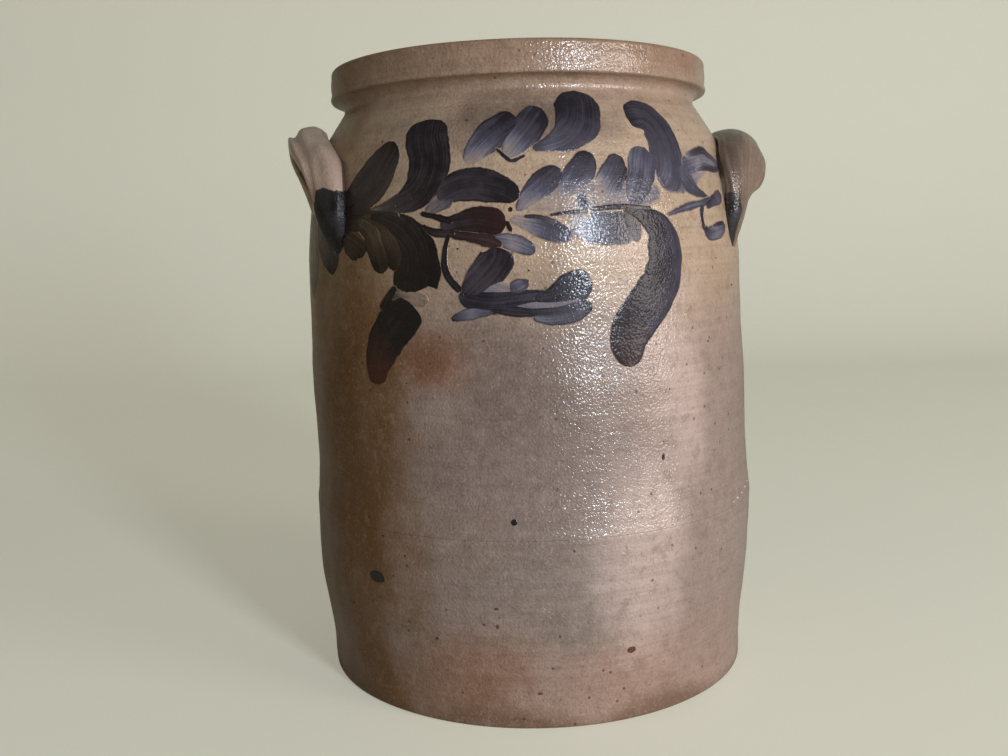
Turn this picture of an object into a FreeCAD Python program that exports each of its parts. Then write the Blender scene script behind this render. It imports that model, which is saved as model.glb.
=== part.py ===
import FreeCAD, Part
import math
import os
import re

import Sketcher

# A large wheel-thrown storage jar in salt-glazed stoneware.
# It is thrown in two sections, which are luted together at a seam low on the
# body, and it has two arched strap handles luted to the shoulder.
# Millimetres, +Z up, -Y towards the painted front, +X towards the right-hand handle.
# The origin is the centre of the foot, on the surface that the jar stands on.

SIZES = [
    ("body_radius", 148.6, "outside radius of the upright side"),
    ("foot_inset", 4.4, "how much narrower the foot is than the upright side"),
    ("foot_edge", 2.0, "softening of the foot's outer edge"),
    ("foot_height", 22.0, "height of the straight foot below the swelling side"),
    ("belly_height", 68.0, "height over which the side swells out"),
    ("belly_curve", 380.0, "radius of the swelling side"),
    ("seam_swell", 2.9, "how much wider the jar is below its seam than above"),
    ("seam_rise", 27.0, "from the swelling side up to the seam between the sections"),
    ("draw_in_height", 20.5, "height over which the side draws in above the seam"),
    ("upright_height", 98.5, "height of the upright side"),
    ("lean_height", 44.0, "height over which the side leans in below the shoulder"),
    ("shoulder_inset", 2.1, "how much narrower the shoulder starts than the side"),
    ("shoulder_curve", 160.0, "outside radius of the shoulder's curve"),
    ("neck_rise", 88.0, "height of the shoulder's curve"),
    ("cove_height", 10.0, "height of the cove under the collar"),
    ("cove_depth", 2.1, "how much narrower the neck is at the top of the cove"),
    ("cove_curve", 8.0, "radius of the cove"),
    ("collar_undercut", 3.0, "rise of the collar's sloping underside"),
    ("collar_overhang", 6.7, "how far the collar stands out beyond the neck"),
    ("collar_height", 19.0, "height of the collar's band"),
    ("rim_width", 16.2, "width of the rim from outside to inside"),
    ("rim_edge", 2.0, "softening of the rim's two top edges"),
    ("mouth_depth", 28.0, "height of the mouth's upright wall"),
    ("wall", 12.1, "thickness of the upright side"),
    ("inside_rise", 12.0, "how far above the shoulder's start the inside turns in"),
    ("inside_curve", 180.0, "inside radius of the shoulder's curve"),
    ("floor", 14.0, "thickness of the floor"),
    ("floor_fillet", 18.0, "inside curve between floor and wall"),
    ("groove_depth", 3.5, "depth of the seam's groove below its two edges"),
    ("handle_half_angle", 25.0, "angle from a handle's middle to each foot"),
    ("left_turn", 6.0, "how far round towards the front the left handle sits"),
    ("right_turn", 3.0, "how far round towards the front the right handle sits"),
    ("handle_foot_rise", 22.0, "height of a handle's feet above the shoulder's start"),
    ("foot_stand", 0.5, "from the wall out to the middle of the strap's foot"),
    ("left_crest_rise", 53.0, "height of the left strap's crest above its feet"),
    ("right_crest_rise", 47.0, "height of the right strap's crest above its feet"),
    ("left_crest_stand", 18.7, "from the wall out to the middle of the left crest"),
    ("right_crest_stand", 15.6, "from the wall out to the middle of the right crest"),
    ("left_tilt", 34.0, "how far the left strap slopes down outwards at its crest"),
    ("right_tilt", 40.0, "how far the right strap slopes down outwards at its crest"),
    ("strap_width", 30.0, "width of the strap at the crest"),
    ("strap_thickness", 14.0, "thickness of the strap at the crest"),
    ("foot_width", 26.0, "width of the strap where it meets the wall"),
    ("foot_thickness", 11.0, "thickness of the strap at its foot"),
    ("tail_width", 10.0, "width of the smeared tail below each foot"),
    ("tail_thickness", 4.5, "thickness of that tail"),
    ("tail_length", 19.0, "how far the tail runs down the wall below the foot"),
]

ALIASES = {row[0] for row in SIZES}
ARCH_STEPS = (-90, -45, 0, 45, 90)            # degrees round the arch, 0 at its crest
STRAP_SIDES = 10                              # corners of a strap's oval cross-section
OVAL_POWER = 3.0                              # 2 is an ellipse, more is a fuller oval
CUTTER_MARGIN = 20.0                          # how far a cutting form passes the jar

document = FreeCAD.newDocument("storage_jar")


def make_sheet():
    """Put the driving dimensions in a spreadsheet, one row each."""
    sheet = document.addObject("Spreadsheet::Sheet", "Sizes")
    for row, (alias, value, note) in enumerate(SIZES, start=1):
        sheet.set("A%d" % row, alias)
        sheet.set("B%d" % row, str(value))
        sheet.setAlias("B%d" % row, alias)
        sheet.set("C%d" % row, note)
    document.recompute()
    return sheet


sheet = make_sheet()


def size(words):
    """The number that an expression in the sheet's aliases comes to, in mm."""
    return float(sheet.evalExpression(bound(words)))


def bound(words):
    """Turn plain alias names into references to the sheet."""
    return re.sub(r"[a-z_]+", lambda word: "Sizes." + word[0] if word[0] in ALIASES
                  else word[0], words)


def origin_plane(body, role):
    return [f for f in body.Origin.OriginFeatures if f.Role == role][0]


def add_constraint(sketch, kind, *places, words=None):
    """Add a constraint, whose number, if it has one, stays bound to the sheet."""
    if words is None:
        sketch.addConstraint(Sketcher.Constraint(kind, *places))
        return
    sketch.addConstraint(Sketcher.Constraint(kind, *places, size(words)))
    last = sketch.ConstraintCount - 1
    sketch.setExpression("Constraints[%d]" % last, bound(words))


# ---------------------------------------------------------------- outlines

class Outline:
    """A closed half outline of straight and round stretches, in an upright sketch.

    Each corner is a pair of expressions, radius and height, and every number
    stays bound to the sheet. A round stretch is a guide arc with equal chords
    along it, so that each of its bands is a plain cone.
    """

    def __init__(self, name):
        self.body = document.addObject("PartDesign::Body", name)
        self.sketch = self.body.newObject("Sketcher::SketchObject", name + "_outline")
        self.sketch.AttachmentSupport = (origin_plane(self.body, "XZ_Plane"), [""])
        self.sketch.MapMode = "FlatFace"
        self.edges = []
        self.first = None
        self.last = None

    def start(self, radius, height):
        self.first = self.last = (radius, height)
        return self

    def line(self, radius, height):
        """A straight stretch to the next corner."""
        self._edge(self._point(self.last), self._point((radius, height)))
        self._corner(radius, height)
        return self

    def curve(self, radius, height, round_by, chords, hollow=False):
        """A round stretch of a given radius: full by default, or hollow."""
        begin, end = self._point(self.last), self._point((radius, height))
        reach = size(round_by)
        chord = end - begin
        across = FreeCAD.Vector(chord.y, -chord.x, 0).normalize()
        side = 1 if hollow else -1
        back = math.sqrt(reach ** 2 - (chord.Length / 2) ** 2)
        middle = (begin + end) / 2 + across * (back - reach) * side
        arc = Part.Arc(begin, middle, end)
        guide = self.sketch.addGeometry(arc, True)
        low, high = arc.FirstParameter, arc.LastParameter
        if (arc.value(low) - begin).Length > (arc.value(high) - begin).Length:
            low, high = high, low
        points = [arc.value(low + (high - low) * step / chords) for step in range(chords + 1)]
        edges = [self._edge(*pair) for pair in zip(points, points[1:])]
        begins_at = 1 if (self.sketch.getPoint(guide, 1) - begin).Length < 1e-6 else 2
        self._add("Coincident", guide, begins_at, edges[0], 1)
        self._add("Coincident", guide, 3 - begins_at, edges[-1], 2)
        for edge in edges[:-1]:
            self._add("PointOnObject", edge, 2, guide)
            self._add("Equal", edge, edges[-1])
        self._add("Radius", guide, words=round_by)
        self._corner(radius, height)
        return self

    def revolve(self):
        """Close the outline and turn it about the jar's axis."""
        self._edge(self._point(self.last), self._point(self.first))
        self._add("Coincident", self.edges[-1], 2, self.edges[0], 1)
        document.recompute()
        turned = self.body.newObject("PartDesign::Revolution", self.body.Name + "_turned")
        turned.Profile = self.sketch
        turned.ReferenceAxis = (self.sketch, ["V_Axis"])
        turned.Angle = 360
        document.recompute()
        return self.body

    def _point(self, corner):
        return FreeCAD.Vector(size(corner[0]), size(corner[1]), 0)

    def _edge(self, begin, end):
        """Add one straight edge, joined to the one before it."""
        index = self.sketch.addGeometry(Part.LineSegment(begin, end), False)
        if self.edges:
            self._add("Coincident", self.edges[-1], 2, index, 1)
        else:
            self._pin(index, 1, self.first)
        self.edges.append(index)
        return index

    def _corner(self, radius, height):
        self._pin(self.edges[-1], 2, (radius, height))
        self.last = (radius, height)

    def _pin(self, index, point, corner):
        for kind, words, axis in zip(("DistanceX", "DistanceY"), corner, (-2, -1)):
            if words == "0":
                self._add("PointOnObject", index, point, axis)
            else:
                self._add(kind, -1, 1, index, point, words=words)

    def _add(self, kind, *places, words=None):
        add_constraint(self.sketch, kind, *places, words=words)


# Heights and radii that several outlines share, each written once.
FOOT_RADIUS = "body_radius - foot_inset"
SEAM_RADIUS = "( body_radius + seam_swell )"
BORE = "( body_radius - wall )"
BELLY_TOP = "foot_height + belly_height"
SEAM_HEIGHT = BELLY_TOP + " + seam_rise"
DRAWN_IN = SEAM_HEIGHT + " + draw_in_height"
UPRIGHT_TOP = DRAWN_IN + " + upright_height"
SHOULDER_HEIGHT = UPRIGHT_TOP + " + lean_height"
NECK_HEIGHT = SHOULDER_HEIGHT + " + neck_rise"
COVE_TOP = NECK_HEIGHT + " + cove_height"
COLLAR_BOTTOM = COVE_TOP + " + collar_undercut"
COLLAR_TOP = COLLAR_BOTTOM + " + collar_height"


def shoulder_radius(rise):
    """The shoulder's outside radius at a height above the shoulder's start."""
    return ("( body_radius - shoulder_inset - shoulder_curve + "
            "sqrt(shoulder_curve * shoulder_curve - ( %s ) * ( %s ) ) )" % (rise, rise))


NECK_RADIUS = shoulder_radius("neck_rise") + " - cove_depth"
COLLAR_RADIUS = NECK_RADIUS + " + collar_overhang"
MOUTH_RADIUS = COLLAR_RADIUS + " - rim_width"


def outer_form():
    """The whole outside of the jar as one solid of revolution."""
    outline = Outline("outer_form").start("0", "0")
    outline.line(FOOT_RADIUS + " - foot_edge", "0")
    outline.line(FOOT_RADIUS, "foot_edge")
    outline.line(FOOT_RADIUS, "foot_height")
    outline.curve(SEAM_RADIUS, BELLY_TOP, "belly_curve", 2)
    outline.line(SEAM_RADIUS, SEAM_HEIGHT)
    outline.line("body_radius", DRAWN_IN)
    outline.line("body_radius", UPRIGHT_TOP)
    outline.line(shoulder_radius("0"), SHOULDER_HEIGHT)
    outline.curve(shoulder_radius("neck_rise"), NECK_HEIGHT, "shoulder_curve", 5)
    outline.curve(NECK_RADIUS, COVE_TOP, "cove_curve", 2, hollow=True)
    outline.line(COLLAR_RADIUS, COLLAR_BOTTOM)
    outline.line(COLLAR_RADIUS, COLLAR_TOP + " - rim_edge")
    outline.line(COLLAR_RADIUS + " - rim_edge", COLLAR_TOP)
    outline.line("0", COLLAR_TOP)
    return outline.revolve()


def inner_form():
    """The space inside the jar, passing out through the mouth."""
    above = COLLAR_TOP + " + %s" % CUTTER_MARGIN
    outline = Outline("inner_form").start("0", "floor")
    outline.line(BORE + " - floor_fillet", "floor")
    outline.curve(BORE, "floor + floor_fillet", "floor_fillet", 3)
    outline.line(BORE, SHOULDER_HEIGHT + " + inside_rise")
    outline.curve(MOUTH_RADIUS, COLLAR_TOP + " - mouth_depth", "inside_curve", 2)
    outline.line(MOUTH_RADIUS, COLLAR_TOP + " - rim_edge")
    outline.line(MOUTH_RADIUS + " + rim_edge", COLLAR_TOP)
    outline.line(MOUTH_RADIUS + " + rim_edge", above)
    outline.line("0", above)
    return outline.revolve()


def seam_form():
    """All that lies below the seam, with the groove that the upper part sits in."""
    beyond = SEAM_RADIUS + " + %s" % CUTTER_MARGIN
    below = "0 - %s" % CUTTER_MARGIN
    outline = Outline("seam_form").start("0", below)
    outline.line(beyond, below)
    outline.line(beyond, SEAM_HEIGHT)
    outline.line(SEAM_RADIUS, SEAM_HEIGHT)
    outline.line("( " + SEAM_RADIUS + " + " + BORE + " ) / 2", SEAM_HEIGHT + " - groove_depth")
    outline.line(BORE, SEAM_HEIGHT)
    outline.line("0", SEAM_HEIGHT)
    return outline.revolve()


# ---------------------------------------------------------------- handles

FOOT_REACH = "( " + shoulder_radius("handle_foot_rise") + " + foot_stand )"
FOOT_ACROSS = "( " + FOOT_REACH + " * sin(handle_half_angle * 1deg ) )"
FOOT_OUT = "( " + FOOT_REACH + " * cos(handle_half_angle * 1deg ) )"


def strap_section(body, name, place, turn, width, thickness):
    """One cross-section of the strap: a flat oval, fuller than an ellipse.

    place is three expressions; turn is three angles, as yaw, pitch and roll.
    The section's width lies along its own x, and its thickness along y.
    """
    sketch = body.newObject("Sketcher::SketchObject", name)
    sketch.AttachmentSupport = (origin_plane(body, "XY_Plane"), [""])
    sketch.MapMode = "FlatFace"
    corners = []
    for step in range(STRAP_SIDES):
        angle = 2 * math.pi * (step + 0.5) / STRAP_SIDES
        reach = (abs(math.cos(angle)) ** OVAL_POWER
                 + abs(math.sin(angle)) ** OVAL_POWER) ** (-1 / OVAL_POWER)
        corners.append(("%s * %.5f" % (width, math.cos(angle) * reach / 2),
                        "%s * %.5f" % (thickness, math.sin(angle) * reach / 2)))
    points = [FreeCAD.Vector(size(x), size(y), 0) for x, y in corners]
    for begin, end in zip(points, points[1:] + points[:1]):
        sketch.addGeometry(Part.LineSegment(begin, end), False)
    for edge, (x, y) in enumerate(corners):
        add_constraint(sketch, "Coincident", edge - 1 if edge else STRAP_SIDES - 1, 2, edge, 1)
        add_constraint(sketch, "DistanceX", -1, 1, edge, 1, words=x)
        add_constraint(sketch, "DistanceY", -1, 1, edge, 1, words=y)
    sketch.setExpression("AttachmentOffset", (
        "create(<<placement>>; create(<<vector>>; %s; %s; %s); "
        "create(<<rotation>>; %s; %s; %s))") % tuple(bound(w) for w in place + turn))
    return sketch


def handle(side, place_round):
    """One arched strap handle, seated on the jar's own outside.

    place_round is the angle of its middle round the jar, from +X.

    The strap leans out from the shoulder. From its crest to its feet it twists
    until it lies flat on the wall, flares, and runs out in a smeared tail.
    """
    body = document.addObject("PartDesign::Body", side + "_strap")
    sections = []
    flat_on_wall = "( 90 - handle_half_angle )"
    crest_rise = "handle_foot_rise + %s_crest_rise" % side
    crest = "( %s + %s_crest_stand )" % (shoulder_radius(crest_rise), side)

    def tail(sign):
        rise = "( handle_foot_rise - tail_length )"
        reach = shoulder_radius(rise)
        place = (reach + " * cos(handle_half_angle * 1deg )",
                 "%d * %s * sin(handle_half_angle * 1deg )" % (sign, reach),
                 SHOULDER_HEIGHT + " + " + rise)
        turn = ("%d * %s" % (-sign, flat_on_wall), "0", "%d" % (90 - 90 * sign))
        return strap_section(body, "%s_tail_%s" % (side, "back" if sign > 0 else "front"),
                             place, turn, "tail_width", "tail_thickness")

    def step(angle):
        share = math.cos(math.radians(angle))
        sweep = math.sin(math.radians(angle))
        place = ("%s + ( %s - %s ) * %.6f" % (FOOT_OUT, crest, FOOT_OUT, share),
                 "%.6f * %s" % (-sweep, FOOT_ACROSS),
                 SHOULDER_HEIGHT + " + handle_foot_rise + %s_crest_rise * %.6f" % (side, share))
        sign = (angle > 0) - (angle < 0)
        turn = ("%d * %s * %.6f" % (sign, flat_on_wall, 1 - share),
                "%s_tilt * %.6f" % (side, share),
                "90 + %d" % angle)
        width = "( foot_width + ( strap_width - foot_width ) * %.6f )" % share
        thickness = ("( foot_thickness + ( strap_thickness - foot_thickness ) * %.6f )"
                     % share)
        name = "%s_strap_%s%d" % (side, "b" if angle < 0 else "f", abs(angle))
        return strap_section(body, name, place, turn, width, thickness)

    sections.append(tail(1))
    sections += [step(angle) for angle in ARCH_STEPS]
    sections.append(tail(-1))
    document.recompute()
    loft = body.newObject("PartDesign::AdditiveLoft", side + "_loft")
    loft.Profile = sections[0]
    loft.Sections = sections[1:]
    loft.Ruled = False
    loft.Closed = False
    body.setExpression("Placement", (
        "create(<<placement>>; create(<<vector>>; 0; 0; 0); "
        "create(<<rotation>>; %s; 0; 0))") % bound(place_round))
    document.recompute()
    return body


def boolean(kind, name, base, tool):
    """Cut the tool away from the base, or keep what the two have in common."""
    result = document.addObject("Part::" + kind, name)
    result.Base = base
    result.Tool = tool
    result.Label = name
    document.recompute()
    return result


outside = outer_form()
inside = inner_form()
seam = seam_form()
jar = boolean("Cut", "jar_wall", outside, inside)

below_seam = boolean("Common", "lower_section", jar, seam)
above_seam = boolean("Cut", "upper_section", jar, seam)
left = boolean("Cut", "left_handle", handle("left", "180 + left_turn"), outside)
right = boolean("Cut", "right_handle", handle("right", "0 - right_turn"), outside)
document.recompute()

PARTS = [below_seam, above_seam, left, right]

for item in document.Objects:
    if "Invalid" in item.State or "Error" in item.State:
        raise RuntimeError("%s failed: %s" % (item.Label, item.State))
for item in PARTS:
    if item.Shape.isNull() or not item.Shape.isValid():
        raise RuntimeError("%s has no valid shape" % item.Label)

os.makedirs("parts", exist_ok=True)
for item in PARTS:
    item.Shape.exportStep("parts/%s.step" % item.Label)
    box = item.Shape.optimalBoundingBox()
    print("%-14s %d solid(s) %9.0f mm3  x %.1f..%.1f  y %.1f..%.1f  z %.1f..%.1f" % (
        item.Label, len(item.Shape.Solids), item.Shape.Volume,
        box.XMin, box.XMax, box.YMin, box.YMax, box.ZMin, box.ZMax))
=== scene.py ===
import math

import bmesh
import bpy
from mathutils import Euler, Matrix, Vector, noise


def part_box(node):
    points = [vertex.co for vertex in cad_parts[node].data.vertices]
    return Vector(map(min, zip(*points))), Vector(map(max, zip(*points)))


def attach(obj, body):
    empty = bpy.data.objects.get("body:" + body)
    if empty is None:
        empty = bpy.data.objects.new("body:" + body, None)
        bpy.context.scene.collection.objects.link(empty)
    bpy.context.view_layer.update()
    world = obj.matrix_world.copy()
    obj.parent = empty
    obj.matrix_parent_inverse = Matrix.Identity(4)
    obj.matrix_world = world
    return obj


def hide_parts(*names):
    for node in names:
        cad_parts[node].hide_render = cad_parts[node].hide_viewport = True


# The looks of a salt-glazed stoneware storage jar: two thrown sections, two
# pulled strap handles, cobalt brushwork and the marks of the kiln.
# Places on the wall are an azimuth in degrees, from the front (-Y) towards the
# right-hand handle (+X), and a height in millimetres. Meshes are in metres.

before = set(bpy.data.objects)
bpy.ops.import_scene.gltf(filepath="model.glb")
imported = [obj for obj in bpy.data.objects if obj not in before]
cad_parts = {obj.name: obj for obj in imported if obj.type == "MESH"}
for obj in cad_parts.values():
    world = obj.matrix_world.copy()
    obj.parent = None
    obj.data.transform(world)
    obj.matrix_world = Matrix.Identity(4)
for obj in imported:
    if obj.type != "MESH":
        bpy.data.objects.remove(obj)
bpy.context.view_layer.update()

MM = 0.001
SEAM_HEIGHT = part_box("lower_section")[1].z / MM
JAR_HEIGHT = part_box("upper_section")[1].z / MM
CAMERA_AZIMUTH = -7.0
LIFT_PER_LAYER = 0.009  # mm, each later stroke lies a little higher


# ---- small tools

def srgb(red, green, blue):
    """A colour written as 0 to 255, as the linear colour that shaders take."""
    linear = []
    for value in (red, green, blue):
        share = value / 255
        linear.append(share / 12.92 if share <= 0.04045 else ((share + 0.055) / 1.055) ** 2.4)
    return (*linear, 1.0)


def smooth_path(points, steps):
    """Points along a Catmull-Rom curve through the given points, of any size."""
    padded = [points[0], *points, points[-1]]
    found = []
    for a, b, c, d in zip(padded, padded[1:], padded[2:], padded[3:]):
        for step in range(steps):
            t = step / steps
            found.append(tuple(
                0.5 * (2 * q + (r - p) * t + (2 * p - 5 * q + 4 * r - s) * t ** 2
                       + (3 * q - p - 3 * r + s) * t ** 3)
                for p, q, r, s in zip(a, b, c, d)))
    found.append(tuple(points[-1]))
    return found


def curve_through(pairs):
    """A smooth function through (x, y) pairs that are sorted by x."""
    slopes = []
    for index in range(len(pairs)):
        low, high = pairs[max(index - 1, 0)], pairs[min(index + 1, len(pairs) - 1)]
        slopes.append((high[1] - low[1]) / (high[0] - low[0]))

    def value(x):
        x = min(max(x, pairs[0][0]), pairs[-1][0])
        index = next(i for i in range(len(pairs) - 1) if x <= pairs[i + 1][0])
        (x0, y0), (x1, y1) = pairs[index], pairs[index + 1]
        span = x1 - x0
        t = (x - x0) / span
        return (y0 * (2 * t ** 3 - 3 * t ** 2 + 1)
                + slopes[index] * span * (t ** 3 - 2 * t ** 2 + t)
                + y1 * (3 * t ** 2 - 2 * t ** 3) + slopes[index + 1] * span * (t ** 3 - t ** 2))
    return value


def clamped(value):
    return min(1.0, max(0.0, value))


def bell(distance, width):
    return math.exp(-(distance / width) ** 2)


def new_object(name, data):
    made = bpy.data.objects.new(name, data)
    bpy.context.scene.collection.objects.link(made)
    return made


def smooth_mesh(name, points, faces, material):
    mesh = bpy.data.meshes.new(name)
    mesh.from_pydata([tuple(p) for p in points], [], faces)
    mesh.validate()
    mesh.materials.append(material)
    mesh.polygons.foreach_set("use_smooth", [True] * len(mesh.polygons))
    return mesh


def make_mesh(name, points, faces, material, fields=None):
    """A smooth mesh piece that rides on the jar, with named numbers on its points."""
    mesh = smooth_mesh(name, points, faces, material)
    for field, values in (fields or {}).items():
        mesh.attributes.new(field, "FLOAT", "POINT").data.foreach_set("value", values)
    piece = new_object(name, mesh)
    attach(piece, "root")
    return piece


def grid_faces(rows, columns, wrap):
    """Quads between rows of points, closed around if wrap is set."""
    faces = []
    for row in range(rows - 1):
        for column in range(columns if wrap else columns - 1):
            beside = (column + 1) % columns
            faces.append((row * columns + column, row * columns + beside,
                          (row + 1) * columns + beside, (row + 1) * columns + column))
    return faces


# ---- the jar's skin

# Height and outside radius, where the potter's profile changes.
PROFILE = [
    (0, 143.6), (8, 143.9), (18, 144.1), (32, 145.3), (52, 148.0), (72, 150.1), (92, 150.8),
    (108, 151.1), (116, 151.15), (122, 150.6), (132, 149.8), (148, 148.9), (172, 148.7),
    (200, 148.8), (228, 147.5), (256, 146.9), (280, 146.3), (312, 142.5), (336, 136.2),
    (352, 130.4), (366, 121.7), (373, 117.3), (378, 117.8)]
# Height and how far the wheel's axis has strayed sideways, seen from the front.
LEAN = [(0, -0.3), (60, -1.3), (117, -0.3), (180, -1.6), (240, -3.1), (300, -4.0), (400, -4.6)]
RIM_OUTER, RIM_INNER, RIM_ROUND = 124.6, 108.8, 2.6
SEAM_LINE = 0.10  # depth of the faint line at the seam
INCISED_LINES = (367.2, 364.6)

outer_radius = curve_through(PROFILE)
stray = curve_through(LEAN)


def throwing_marks(azimuth, height):
    """How far the wall rises and falls from the plain profile, in millimetres."""
    turn = math.radians(azimuth)
    rings = 0.030 * math.sin(height / 1.1 + 0.9 * math.sin(turn + 1) + 2.1 * math.sin(height / 31))
    rings += 0.060 * math.sin(height / 3.9 + 1.7 * math.sin(turn - 0.6) + math.sin(height / 17))
    swell = noise.noise(Vector((math.cos(turn) * 1.3, math.sin(turn) * 1.3, height / 70)))
    ripple = noise.noise(Vector((math.cos(turn) * 4.2, math.sin(turn) * 4.2, height / 16)))
    line = sum(0.20 * bell(height - at, 0.5) for at in INCISED_LINES)
    ridge = 0.22 * bell(height - SEAM_HEIGHT, 2.6)
    return rings + 0.55 * swell + 0.12 * ripple - line + ridge - 0.30


def axis_at(height):
    """The jar's own axis at a height: it leans a little to the left."""
    turn = math.radians(CAMERA_AZIMUTH)
    aside = stray(height)
    return Vector((aside * math.cos(turn), aside * math.sin(turn), height)) * MM


def outward(azimuth):
    turn = math.radians(azimuth)
    return Vector((math.sin(turn), -math.cos(turn), 0))


def at_radius(azimuth, height, radius):
    return axis_at(height) + outward(azimuth) * radius * MM


def skin(azimuth, height, lift=0.0):
    """A point on the outside wall, or a little above it, in metres."""
    return at_radius(azimuth, height,
                     outer_radius(height) + throwing_marks(azimuth, height) + lift)


def degrees_of(length, height):
    """The azimuth that a length along the wall spans at a height."""
    return math.degrees(length / outer_radius(height))


# ---- materials

class Shader:
    """A material's or a group's node tree, with short ways to add to it."""

    def __init__(self, tree):
        self.tree = tree

    def add(self, kind, inputs=None, **settings):
        node = self.tree.nodes.new("ShaderNode" + kind)
        for name, value in settings.items():
            setattr(node, name, value)
        for key, value in (inputs or {}).items():
            self.plug(value, node.inputs[key])
        return node

    def plug(self, value, socket):
        if isinstance(value, bpy.types.NodeSocket):
            self.tree.links.new(value, socket)
        else:
            socket.default_value = value

    def math(self, operation, *values, clamp=False):
        return self.add("Math", dict(enumerate(values)), operation=operation,
                        use_clamp=clamp).outputs[0]

    def times(self, first, second):
        return self.math("MULTIPLY", first, second)

    def scaled(self, value, factor, offset):
        return self.math("MULTIPLY_ADD", value, factor, offset)

    def mix(self, share, first, second):
        node = self.add("Mix", data_type="RGBA")
        self.plug(share, node.inputs["Factor"])
        self.plug(first, node.inputs[6])
        self.plug(second, node.inputs[7])
        return node.outputs[2]

    def fade(self, value, low, high, start=0.0, end=1.0):
        """A smooth step of a number from one range to another."""
        node = self.add("MapRange", {"Value": value, 1: low, 2: high, 3: start, 4: end},
                        interpolation_type="SMOOTHSTEP")
        return node.outputs[0]

    def field(self, name):
        """A number that the mesh carries on its points."""
        return self.add("Attribute", attribute_name=name).outputs["Fac"]

    def place(self):
        return self.add("TexCoord").outputs["Object"]

    def centred(self, value):
        """A noise between 0 and 1, moved to lie around 0."""
        return self.math("SUBTRACT", value, 0.5)

    def noise(self, where, scale, detail=2.0, stretch=(1, 1, 1), roughness=0.5):
        placed = self.add("Mapping", {"Vector": where, "Scale": stretch}).outputs[0]
        return self.add("TexNoise", {"Vector": placed, "Scale": scale, "Detail": detail,
                                     "Roughness": roughness}).outputs["Fac"]

    def ramp(self, value, stops):
        node = self.add("ValToRGB", {"Fac": value})
        elements = node.color_ramp.elements
        while len(elements) < len(stops):
            elements.new(0.5)
        for element, (place, colour) in zip(elements, stops):
            element.position = place
            element.color = colour
        return node.outputs["Color"]


TAN, PINK_GREY, MAUVE_GREY = srgb(184, 156, 132), srgb(162, 138, 127), srgb(152, 130, 121)
WARM_BROWN, RUST, FOOT_BROWN = srgb(146, 108, 74), srgb(142, 92, 66), srgb(122, 92, 74)

# Colour by height, foot to rim. The darker stop at 0.93 is painted shade in the neck beneath the
# collar.
BANDS = [
    (0.0, FOOT_BROWN), (0.035, srgb(160, 132, 118)), (0.20, MAUVE_GREY), (0.42, MAUVE_GREY),
    (0.56, PINK_GREY), (0.68, TAN), (0.88, srgb(186, 160, 136)), (0.93, srgb(164, 138, 120)),
    (1.0, srgb(150, 118, 96))]

WALL_RADIUS = 150  # mm, that the widths of the flame marks and of the painted light and shade are measured on
DRY_AZIMUTH = -68  # the side that the salt vapour reached least
GLASS_IOR = 1.5

# Flame marks and discolourations, with patches of painted light and painted shade among them:
# azimuth, height, half width and half height in mm, colour and strength.
STAINS_AND_PAINTED_LIGHT = [
    (-29, 217, 30, 20, RUST, 0.75), (-46, 150, 42, 120, WARM_BROWN, 0.45),
    (-58, 250, 50, 90, srgb(158, 128, 88), 0.55), (-20, 40, 36, 26, RUST, 0.5),
    (-34, 22, 50, 22, srgb(140, 98, 74), 0.5), (-31, 219, 29, 22, srgb(124, 82, 58), 0.85),
    # (30, 195) is a painted highlight, a pale glow where the side light's reflection falls.
    (30, 195, 26, 70, srgb(214, 186, 176), 0.5), (-6, 180, 58, 95, srgb(110, 95, 89), 0.8),
    # (-12, 354) is painted shade below the collar, and (-56, 130) is painted shade down the left
    # side, away from the lamps, on warmer brown clay.
    (-12, 354, 74, 17, srgb(108, 89, 80), 0.85), (-56, 130, 54, 210, srgb(112, 72, 28), 1.0),
    (-6, 92, 60, 42, srgb(138, 124, 116), 0.7), (-12, 150, 70, 36, srgb(148, 128, 122), 0.5),
    (14, 30, 40, 24, srgb(170, 134, 116), 0.5), (4, 60, 26, 14, srgb(128, 116, 108), 0.5),
    (150, 120, 60, 70, RUST, 0.35), (-140, 220, 70, 60, srgb(150, 132, 120), 0.5),
    # (18, 100) is painted light, a pale glow low on the side that faces the lamps.
    (95, 60, 50, 40, WARM_BROWN, 0.4), (18, 100, 34, 60, srgb(214, 188, 178), 0.6),
    (175, 300, 80, 40, srgb(170, 150, 130), 0.4)]


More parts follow.
